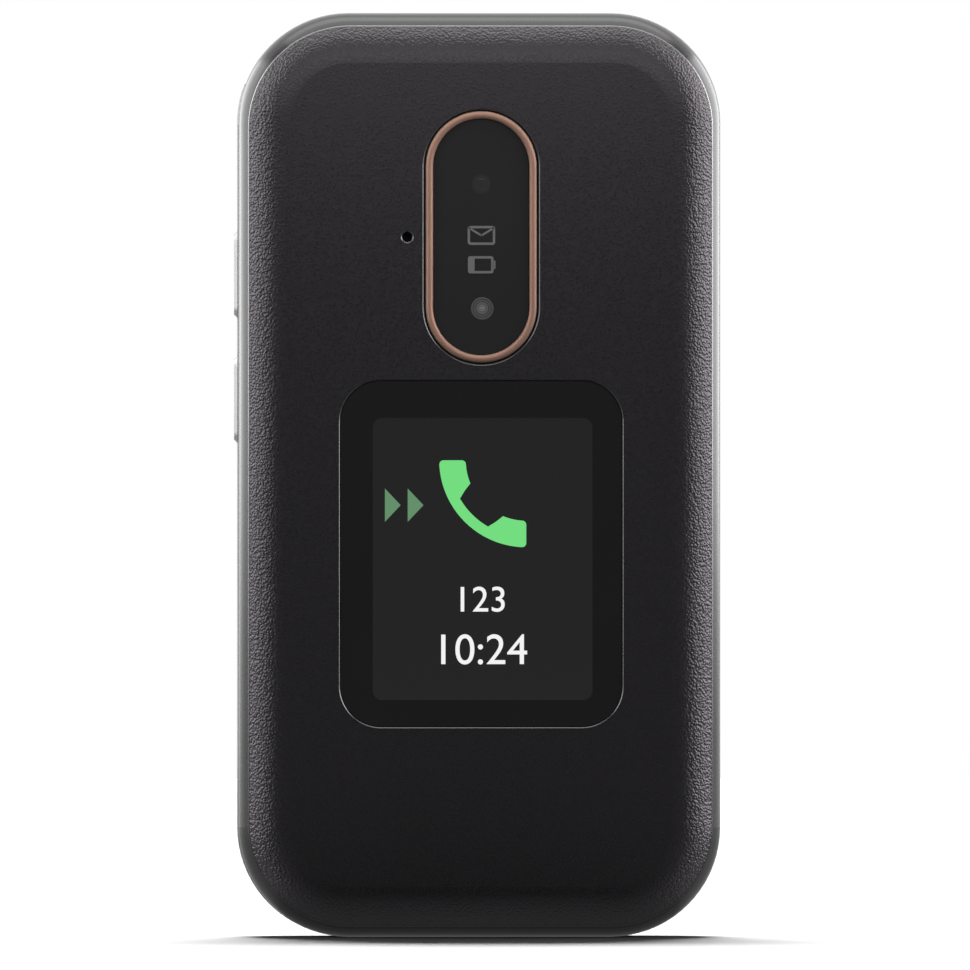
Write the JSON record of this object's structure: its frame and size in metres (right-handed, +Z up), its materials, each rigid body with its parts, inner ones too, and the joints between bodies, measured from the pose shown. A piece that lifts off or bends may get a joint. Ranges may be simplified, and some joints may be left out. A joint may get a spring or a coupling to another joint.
{
  "type": "flip phone",
  "caption": "Folding mobile phone with hinged lid, outer display, ringed camera island, keypad, side keys and lift-off battery cover.",
  "frame": {"origin": "middle of the lower end that the closed phone stands on", "axes": "+X to the right seen from the lid, +Y from the lid to the back, +Z up to the hinge"},
  "size_m": [0.0554, 0.0192, 0.1055],
  "materials": {
    "rim_gloss": "glossy dark grey",
    "grained_skin": "black, fine leather-like grain",
    "housing_matte": "satin black",
    "rose_metal": "polished rose gold",
    "smoked_window": "smoked, glossy",
    "component_black": "satin",
    "light_lens": "clear, frosted",
    "display_panel": "dark",
    "circuit_board": "green solder mask",
    "bumper_rubber": "soft black",
    "battery_wrap": "dark grey wrap",
    "gold_contact": "gold plated",
    "flex_film": "amber film",
    "key_plastic": "satin dark grey",
    "steel": "bare steel"
  },
  "bodies": {
    "base": {"keypad_housing": "housing_matte", "rear_housing": "rim_gloss", "battery": "battery_wrap", "main_board": "circuit_board", "shield_can": "steel", "dome_sheet": "steel", "loudspeaker": "steel", "vibration_motor": "steel", "usb_socket": "steel", "headset_jack": "component_black", "charge_contacts": "gold_contact", "sim_holder": "steel", "battery_contacts": "gold_contact", "antenna": "gold_contact", "base_screws": "steel", "hinge_module": "steel", "hinge_spring": "steel", "hinge_bush": "steel", "flex_cable": "flex_film"},
    "lid": {"lid_frame": "rim_gloss", "lid_cover": "grained_skin", "lid_inner_housing": "housing_matte", "camera_ring": "rose_metal", "camera_window": "smoked_window", "camera_module": "component_black", "flash_light": "light_lens", "light_guide": "light_lens", "outer_window": "smoked_window", "outer_display": "display_panel", "inner_window": "smoked_window", "main_display": "display_panel", "lid_board": "circuit_board", "earpiece": "steel", "magnet": "steel", "bumpers": "bumper_rubber", "lid_screws": "steel", "hinge_cam": "steel"},
    "battery_cover": {"battery_cover": "grained_skin"},
    "assist_key": {"assist_key": "key_plastic"},
    "key_nav": {"key_nav": "key_plastic"},
    "key_soft_left": {"key_soft_left": "key_plastic"},
    "key_soft_right": {"key_soft_right": "key_plastic"},
    "key_call": {"key_call": "key_plastic"},
    "key_end": {"key_end": "key_plastic"},
    "key_camera": {"key_camera": "key_plastic"},
    "key_message": {"key_message": "key_plastic"},
    "key_1": {"key_1": "key_plastic"},
    "key_2": {"key_2": "key_plastic"},
    "key_3": {"key_3": "key_plastic"},
    "key_4": {"key_4": "key_plastic"},
    "key_5": {"key_5": "key_plastic"},
    "key_6": {"key_6": "key_plastic"},
    "key_7": {"key_7": "key_plastic"},
    "key_8": {"key_8": "key_plastic"},
    "key_9": {"key_9": "key_plastic"},
    "key_star": {"key_star": "key_plastic"},
    "key_0": {"key_0": "key_plastic"},
    "key_hash": {"key_hash": "key_plastic"},
    "volume_up_key": {"volume_up_key": "key_plastic"},
    "volume_down_key": {"volume_down_key": "key_plastic"}
  },
  "joints": [
    {"name": "assist_press", "type": "slide", "parent": "base", "child": "assist_key", "axis": [0, -1, 0], "range_m": [0, 0.0005], "stiffness_N_per_m": 400, "springref_m": -0.0001},
    {"name": "battery_cover_lift", "type": "slide", "parent": "base", "child": "battery_cover", "axis": [0, 1, 0], "range_m": [0, 0.03]},
    {"name": "flip_hinge", "type": "hinge", "parent": "base", "child": "lid", "pos_m": [0, 0, 0.1], "axis": [-1, 0, 0], "range_deg": [0, 160]},
    {"name": "key_nav_press", "type": "slide", "parent": "base", "child": "key_nav", "axis": [0, 1, 0], "range_m": [0, 0.00035], "stiffness_N_per_m": 400, "springref_m": -0.00005},
    {"name": "key_soft_left_press", "type": "slide", "parent": "base", "child": "key_soft_left", "axis": [0, 1, 0], "range_m": [0, 0.00035], "stiffness_N_per_m": 400, "springref_m": -0.00005},
    {"name": "key_soft_right_press", "type": "slide", "parent": "base", "child": "key_soft_right", "axis": [0, 1, 0], "range_m": [0, 0.00035], "stiffness_N_per_m": 400, "springref_m": -0.00005},
    {"name": "key_call_press", "type": "slide", "parent": "base", "child": "key_call", "axis": [0, 1, 0], "range_m": [0, 0.00035], "stiffness_N_per_m": 400, "springref_m": -0.00005},
    {"name": "key_end_press", "type": "slide", "parent": "base", "child": "key_end", "axis": [0, 1, 0], "range_m": [0, 0.00035], "stiffness_N_per_m": 400, "springref_m": -0.00005},
    {"name": "key_camera_press", "type": "slide", "parent": "base", "child": "key_camera", "axis": [0, 1, 0], "range_m": [0, 0.00035], "stiffness_N_per_m": 400, "springref_m": -0.00005},
    {"name": "key_message_press", "type": "slide", "parent": "base", "child": "key_message", "axis": [0, 1, 0], "range_m": [0, 0.00035], "stiffness_N_per_m": 400, "springref_m": -0.00005},
    {"name": "key_1_press", "type": "slide", "parent": "base", "child": "key_1", "axis": [0, 1, 0], "range_m": [0, 0.00035], "stiffness_N_per_m": 400, "springref_m": -0.00005},
    {"name": "key_2_press", "type": "slide", "parent": "base", "child": "key_2", "axis": [0, 1, 0], "range_m": [0, 0.00035], "stiffness_N_per_m": 400, "springref_m": -0.00005},
    {"name": "key_3_press", "type": "slide", "parent": "base", "child": "key_3", "axis": [0, 1, 0], "range_m": [0, 0.00035], "stiffness_N_per_m": 400, "springref_m": -0.00005},
    {"name": "key_4_press", "type": "slide", "parent": "base", "child": "key_4", "axis": [0, 1, 0], "range_m": [0, 0.00035], "stiffness_N_per_m": 400, "springref_m": -0.00005},
    {"name": "key_5_press", "type": "slide", "parent": "base", "child": "key_5", "axis": [0, 1, 0], "range_m": [0, 0.00035], "stiffness_N_per_m": 400, "springref_m": -0.00005},
    {"name": "key_6_press", "type": "slide", "parent": "base", "child": "key_6", "axis": [0, 1, 0], "range_m": [0, 0.00035], "stiffness_N_per_m": 400, "springref_m": -0.00005},
    {"name": "key_7_press", "type": "slide", "parent": "base", "child": "key_7", "axis": [0, 1, 0], "range_m": [0, 0.00035], "stiffness_N_per_m": 400, "springref_m": -0.00005},
    {"name": "key_8_press", "type": "slide", "parent": "base", "child": "key_8", "axis": [0, 1, 0], "range_m": [0, 0.00035], "stiffness_N_per_m": 400, "springref_m": -0.00005},
    {"name": "key_9_press", "type": "slide", "parent": "base", "child": "key_9", "axis": [0, 1, 0], "range_m": [0, 0.00035], "stiffness_N_per_m": 400, "springref_m": -0.00005},
    {"name": "key_star_press", "type": "slide", "parent": "base", "child": "key_star", "axis": [0, 1, 0], "range_m": [0, 0.00035], "stiffness_N_per_m": 400, "springref_m": -0.00005},
    {"name": "key_0_press", "type": "slide", "parent": "base", "child": "key_0", "axis": [0, 1, 0], "range_m": [0, 0.00035], "stiffness_N_per_m": 400, "springref_m": -0.00005},
    {"name": "key_hash_press", "type": "slide", "parent": "base", "child": "key_hash", "axis": [0, 1, 0], "range_m": [0, 0.00035], "stiffness_N_per_m": 400, "springref_m": -0.00005},
    {"name": "volume_up_press", "type": "slide", "parent": "base", "child": "volume_up_key", "axis": [1, 0, 0], "range_m": [0, 0.00035], "stiffness_N_per_m": 400, "springref_m": -0.00002},
    {"name": "volume_down_press", "type": "slide", "parent": "base", "child": "volume_down_key", "axis": [1, 0, 0], "range_m": [0, 0.00035], "stiffness_N_per_m": 400, "springref_m": -0.00002}
  ]
}
